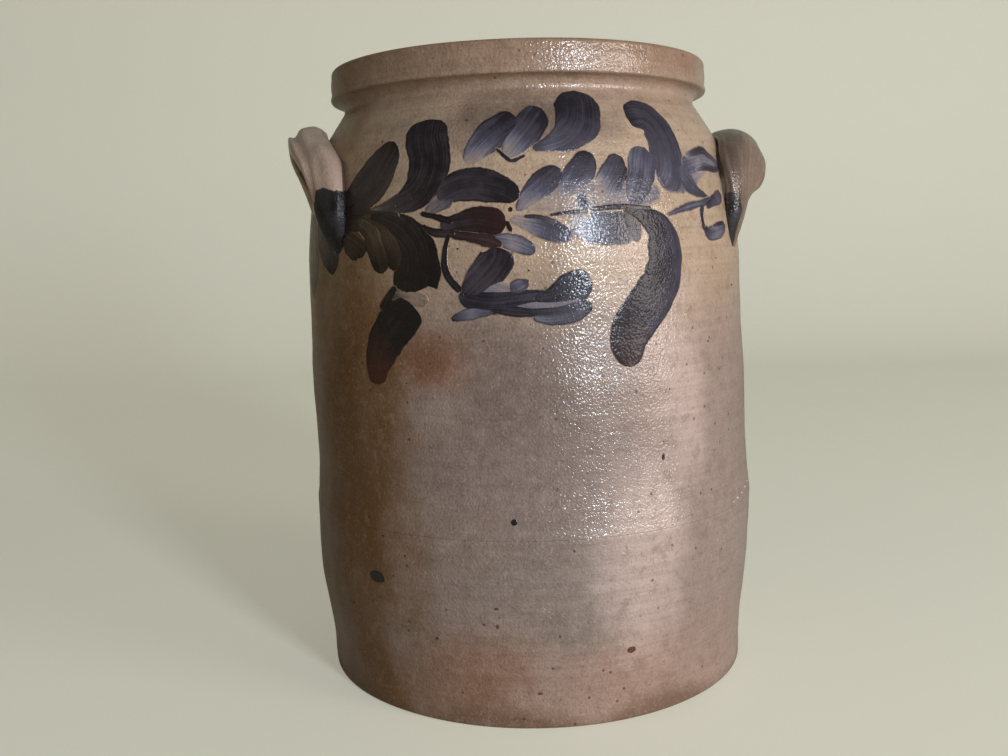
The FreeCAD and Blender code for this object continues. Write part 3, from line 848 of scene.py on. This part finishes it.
    lay("leaf_f2", [(-12.5, 288, 6, .4), (-9, 286.5, 9.5, .3), (-6, 283.5, 9, .35),
        (-4.3, 281, 6, .5)], 0.8)
    lay("leaf_f1_link", [(-22, 291.5, 5, .8), (-17.5, 289.5, 6, .8), (-13.8, 287.5, 8, .8),
        (-11.5, 285, 7, .8)], 1.2, 0.6, rust=(0.1, 0.35))
    lay("leaf_f1", [(-24.5, 296.5, 7, .7), (-20.5, 298, 11, .85), (-16.5, 299, 15, .9),
        (-12.8, 297.5, 16, .95), (-10.5, 296, 13, .95)], warm=0.5, rust=(0.0, 0.3))
    lay("leaf_f1_stalk", [(-29.5, 303.5, 3, .9), (-26, 301.5, 3.5, .9), (-22.5, 298.5, 5, .9)],
        0.6, 0.7)
    lay("leaf_f1_spur", [(-29, 296.5, 2.5, .8), (-26.5, 293, 5, .8), (-22, 292, 5, .8)], 0.7, 0.7)
    lay("leaf_f1_hook", [(-9.8, 297, 3, .9), (-9, 293, 2, .9)], 0.6, 0.5)
    lay("stem_loop", [(-23, 291, 2.5, .9), (-23.9, 283, 3, .9), (-24.1, 274, 4, .9),
        (-23, 266.5, 4.5, .9), (-20.8, 260.5, 4, .9)], 0.5, 0.4)
    lay("wash_g", [(-17, 261, 12, .3), (-12, 257.5, 14, .25), (-6, 253, 12, .3), (0, 251, 9, .25),
        (5, 252, 7, .3)], 2.5)
    lay("leaf_g1", [(-22.2, 244.8, 4, .6), (-19, 247, 7, .25), (-15.5, 249, 7, .4),
        (-12.5, 250.5, 5, .6)], 0.7)
    lay("leaf_g3", [(-4.5, 244.5, 4, .4), (-1, 243.8, 8, .45), (3, 244.8, 9, .5),
        (6, 247.5, 8, .5), (7.8, 250.5, 6, .7)], 0.8)
    lay("leaf_g2_low", [(-14, 250.5, 6, .9), (-9.5, 248.8, 7, .85), (-5, 247.5, 6, .85),
        (0, 247.5, 7, .75), (4, 249.5, 7, .65), (6.8, 251.8, 6, .6)], 0.8)
    lay("leaf_g2", [(-20.5, 257.5, 8, .8), (-17.5, 255, 13, .85), (-13, 254, 15, .8),
        (-9, 255, 12, .8), (-5, 256, 8, .8), (0, 255.5, 6, .9)], 1.0)
    lay("leaf_g2_spike", [(-9.2, 260.5, 8, .6), (-7.2, 262.5, 8, .45), (-6, 264.5, 4, .7)], 1.2)
    lay("leaf_f3", [(-11.8, 282.5, 14, .9), (-12.3, 277, 20, .85), (-14.5, 270, 19, .75),
        (-17.2, 263.5, 16, .65), (-19.5, 258.5, 8, .8)], warm=0.3, blunt=0.8, dark_side=0.2)
    lay("leaf_g4", [(8, 263, 14, .8), (5, 261.5, 18, .75), (2.5, 259, 17, .8), (-1, 256, 9, .85),
        (-4, 255, 5, .9)], 0.8, blunt=0.9, shine=0.8)
    lay("vine_line_1", [(0, 300.8, 1.6, .9), (4, 302, 1.8, .9), (8, 302.4, 1.6, .8)], 0.5)
    lay("vine_line_2", [(9.5, 303.6, 2.4, .9), (14, 304.4, 3, .9), (19, 304.4, 3, .9),
        (24, 303.5, 2, .8)], 0.6)
    lay("leaf_h", [(17.5, 303.5, 4, .9), (21.5, 300, 9, .9), (25.5, 293.5, 18, .9),
        (27.4, 284, 25, .85), (27.4, 272, 26, .85), (25.8, 260, 27, .85), (22.2, 248.5, 28, .85),
        (18.3, 238, 27, .9), (16.7, 228, 24, .95), (17, 215.3, 14, 1.0)], rust=(-0.9, 0.35),
        dark_side=-0.6, shine=0.28)
    lay("stem_j", [(29.5, 300, 2, .4), (33, 302.3, 3.5, .5), (37, 304.5, 5, .5), (41, 306, 4, .55),
        (45, 307.5, 5, .6), (48, 308.5, 4, .5)], 1.0)
    lay("leaf_k1", [(44.3, 305.3, 5, .85), (47.5, 307.7, 6.5, .75), (50.8, 309.7, 9, .5),
        (53.2, 311.3, 8, .7)], 1.0, dark_side=0.3)
    lay("stem_k", [(42, 304.5, 5, .8), (41.4, 299, 3.5, .85), (41.8, 293, 3.8, .8),
        (43, 290, 4, .75)], 0.8)
    lay("leaf_k2", [(42.5, 291.5, 5, .85), (44, 288.5, 8, .6), (47.5, 289, 9.5, .4),
        (51, 290.8, 9, .5), (53, 293, 6, .75)], 1.0)
    lay("leaf_k2_top", [(46.5, 292.8, 2, .6), (49.5, 294, 3, .8), (52.5, 294.3, 3, .8)], 0.9)


def handle_brushwork():
    """Dabs of cobalt where the straps meet the wall, and the leaves beside them."""
    lay = brush_stroke
    lay("side_leaf_2", [(-77, 306, 24, .4), (-76.5, 294, 32, .25), (-75, 281, 34, .27),
        (-74.8, 268, 26, .4), (-75.2, 256, 10, .8)], 1.0, 0.9)
    lay("side_leaf_1", [(-67.5, 308, 18, .45), (-65.3, 298, 25, .3), (-62.3, 288, 29, .35),
        (-60.3, 278, 22, .55), (-59.6, 270.5, 9, .9)], 1.0, 0.8, dark_side=-0.3)
    lay("left_foot_front", [(-62, 318, 14, .95), (-58.5, 309, 20, .95), (-57, 299, 20, .95),
        (-56.3, 290, 14, .95), (-57, 283, 6, .95)], warm=0.4)
    lay("right_foot_front", [(70, 312, 8, .7), (65, 305, 13, .85), (62.5, 297, 11, .8),
        (62, 286, 3, .6)], 1.4)
    lay("right_foot_back", [(104, 312, 8, .8), (109, 305, 14, .9), (111.5, 296, 12, .8),
        (111.5, 284, 3, .6)], 1.2)
    lay("left_foot_back", [(-101, 312, 8, .9), (-106, 305, 15, .9), (-109, 296, 14, .9),
        (-110, 284, 3, .8)], 1.0, 0.4)


# ---- marks of making and firing

MARK_RINGS, MARK_SPOKES = 7, 28
MARK_LIFT, MARK_SINK = 0.05, -0.05  # mm, of its face and of its outermost ring


def round_mark(name, azimuth, height, half_width, half_height, material, dome=0.0, lip=0.12):
    """A pit, spot or drop on the wall: a small round with a lip, and a dome if it stands up."""
    points = []
    for ring in range(MARK_RINGS + 1):
        share = ring / MARK_RINGS
        for spoke in range(MARK_SPOKES):
            angle = 2 * math.pi * spoke / MARK_SPOKES
            c, s = math.cos(angle), math.sin(angle)
            uneven = 1 + 0.13 * noise.noise(Vector((c * 1.4, s * 1.4, azimuth + height)))
            aside = half_width * share * uneven * c
            up = half_height * share * uneven * s
            rise = MARK_LIFT + lip * bell(share - 0.78, 0.16) + dome * math.sqrt(1 - share ** 2)
            points.append(skin(azimuth + degrees_of(aside, height), height + up,
                               MARK_SINK if ring == MARK_RINGS else rise))
    make_mesh(name, points, grid_faces(MARK_RINGS + 1, MARK_SPOKES, wrap=True), material)


def scatter(kind, places, material, first=1, **form):
    """Numbered marks: each place is azimuth, height, half width and half height in mm."""
    for number, place in enumerate(places, start=first):
        round_mark("%s_%d" % (kind, number), *place, material, **form)


def marks():
    scatter("salt_drip", [(50.5, 119.5, 0.9, 0.4), (53.5, 120.4, 1.7, 0.5),
                          (57, 121.6, 1.3, 0.45), (61, 123.2, 1.9, 0.55),
                          (65, 124.6, 1.1, 0.4)], PALE_DRIP, dome=0.1)
    # Pits: small rounds in painted shade, not real hollows.
    scatter("pit", [
        (-11.2, 128, 1.9, 2.0), (-46.5, 86.5, 7.2, 3.9), (-43.8, 113.5, 0.9, 0.6),
        (-56.8, 63, 1.6, 0.9), (-37.5, 103.5, 0.8, 0.6), (-30, 54.5, 0.9, 0.8),
        (24.5, 159.5, 1.2, 2.3), (56.5, 256, 1.9, 0.7), (-26, 234, 0.5, 0.5),
        (-35, 207, 0.7, 0.4), (-9, 304.3, 1.3, 1.4), (4.5, 314.7, 0.7, 0.7), (5.3, 301, 0.9, 0.9),
        (-5.5, 270.6, 0.6, 0.6), (-21, 283.5, 0.7, 0.6), (-3, 227, 0.5, 0.4),
        (-22.5, 244.5, 1.6, 1.7), (120, 92, 1.6, 1.2), (165, 240, 1.0, 0.9),
        (-150, 180, 1.3, 0.9), (-170, 60, 2.2, 1.3), (140, 330, 0.8, 0.7)], PIT_SHADE)
    scatter("iron_spot", [
        (16, 45, 3.2, 2.2), (-6.2, 22.5, 1.6, 1.0), (10, 210, 1.0, 0.6), (41.5, 224, 1.3, 0.6),
        (48, 212, 1.1, 0.5), (27, 199, 0.8, 0.5), (4.5, 205, 0.9, 0.5), (-15.4, 76.5, 1.5, 0.9),
        (-15.2, 65.5, 1.1, 1.5)], BROWN_SPOT, lip=0.03)
    # Numbers 10 and 11 were on the collar, which skin() doesn't reach.
    scatter("iron_spot", [(40, 350, 0.8, 0.4), (46.5, 273.5, 1.3, 0.5), (44.8, 268, 0.5, 1.3)],
            BROWN_SPOT, first=12, lip=0.03)


# ---- putting it together

lower_section()
upper_section()
strap_handle("left_strap", "left_handle", side=-1, middle=84.5, half=26, gather=0.6,
             foot=(305, 4), crest=(356, 13.8), widths=(25, 24, 26), thick=(11, 14), tilt=14,
             fullness=3.0, bow=3, ridge=2.5, lumps=2.2, tail=22, flare=(0.5, 1.8), paint=(323, 0.5))
strap_handle("right_strap", "right_handle", side=1, middle=85.5, half=25, gather=0.8,
             foot=(303, 3.8), crest=(347, 16.4), widths=(24, 36, 37), thick=(11.5, 14), tilt=37,
             fullness=2.3, bow=6, ridge=0.8, lumps=0.8, tail=24, flare=(1.2, 0), paint=(315, -0.3))
handle_brushwork()
front_vine()
marks()


# ---- stage, light and camera

JAR_MIDDLE = 0.2
# How pale the room is to the camera alone, and how much the sky lights the jar.
FLOOR_SEEN, SKY_SEEN, SKY_LIGHT = 0.42, 0.5, 0.14
# The view that the photo's rim, foot and two outlines give: metres and degrees.
CAMERA_PLACE = (-0.08704, -0.70892, 0.28726)
CAMERA_TURN, CAMERA_DROP, CAMERA_ROLL = -5.486, 7.661, -1.536
CAMERA_LENS = 36.43  # mm, on a sensor 36 mm wide

def floor_material():
    material, s, surface = new_material("pale_floor")
    colour = srgb(214, 212, 196)
    shade = s.fade(s.noise(s.place(), 3, 3), 0.3, 0.7, 0.0, 0.06)
    s.plug(s.mix(shade, colour, srgb(190, 188, 174)), surface.inputs["Base Color"])
    surface.inputs["Roughness"].default_value = 0.85
    surface.inputs["Emission Color"].default_value = colour
    seen = s.add("LightPath").outputs["Is Camera Ray"]
    s.plug(s.times(seen, FLOOR_SEEN), surface.inputs["Emission Strength"])
    return material


def studio():
    """A pale floor that curves up into a pale backdrop. Lengths are in metres."""
    turn = math.radians(CAMERA_AZIMUTH)
    front, depth, width, bend, height = -1.7, 1.5, 5.0, 0.6, 3.0
    line = [(front, 0.0), (depth, 0.0)]
    line += [(depth + bend * math.sin(math.radians(a)), bend * (1 - math.cos(math.radians(a))))
             for a in range(10, 91, 10)]
    line.append((depth + bend, height))
    points = []
    for back, up in line:
        for aside in (-width / 2, width / 2):
            points.append((aside * math.cos(turn) - back * math.sin(turn),
                           aside * math.sin(turn) + back * math.cos(turn), up))
    faces = [(2 * i, 2 * i + 1, 2 * i + 3, 2 * i + 2) for i in range(len(line) - 1)]
    floor = new_object("studio_floor",
                       smooth_mesh("studio_floor", points, faces, floor_material()))


def area_light(name, azimuth, distance, height, size, power, colour):
    """A soft lamp facing the jar's middle: lengths in metres, power in watts."""
    data = bpy.data.lights.new(name, "AREA")
    data.shape = "RECTANGLE"
    data.size, data.size_y = size
    data.energy = power
    data.color = colour
    lamp = new_object(name, data)
    lamp.location = outward(azimuth) * distance + Vector((0, 0, height))
    aim = Vector((0, 0, JAR_MIDDLE)) - lamp.location
    lamp.rotation_euler = aim.to_track_quat("-Z", "Y").to_euler()


def lights():
    area_light("window_light", 25, 2.6, 0.78, (0.36, 0.90), 43, (0.82, 0.91, 1.0))
    area_light("warm_side_light", 53, 2.7, 0.66, (0.85, 1.1), 29, (1.0, 0.90, 0.84))
    area_light("left_fill", -75, 2.4, 0.8, (1.6, 1.4), 1.8, (1.0, 0.80, 0.50))
    area_light("back_fill", 170, 2.4, 1.2, (1.6, 1.4), 8, (1.0, 1.0, 1.0))
    world = bpy.data.worlds.new("pale_room")
    world.use_nodes = True
    sky = world.node_tree.nodes["Background"].inputs
    sky["Color"].default_value = srgb(230, 227, 206)
    s = Shader(world.node_tree)
    seen = s.add("LightPath").outputs["Is Camera Ray"]
    s.plug(s.scaled(seen, SKY_SEEN, SKY_LIGHT), sky["Strength"])
    bpy.context.scene.world = world


def camera():
    data = bpy.data.cameras.new("camera")
    data.sensor_width = 36.0
    data.lens = CAMERA_LENS
    viewer = new_object("camera", data)
    viewer.location = CAMERA_PLACE
    turn = Euler((0, 0, math.radians(CAMERA_TURN))).to_matrix()
    tip = Euler((math.radians(90 - CAMERA_DROP), 0, 0)).to_matrix()
    roll = Euler((0, 0, math.radians(CAMERA_ROLL))).to_matrix()
    viewer.rotation_euler = (turn @ tip @ roll).to_euler()
    bpy.context.scene.camera = viewer


studio()
lights()
camera()
bpy.context.scene.view_settings.view_transform = "Standard"
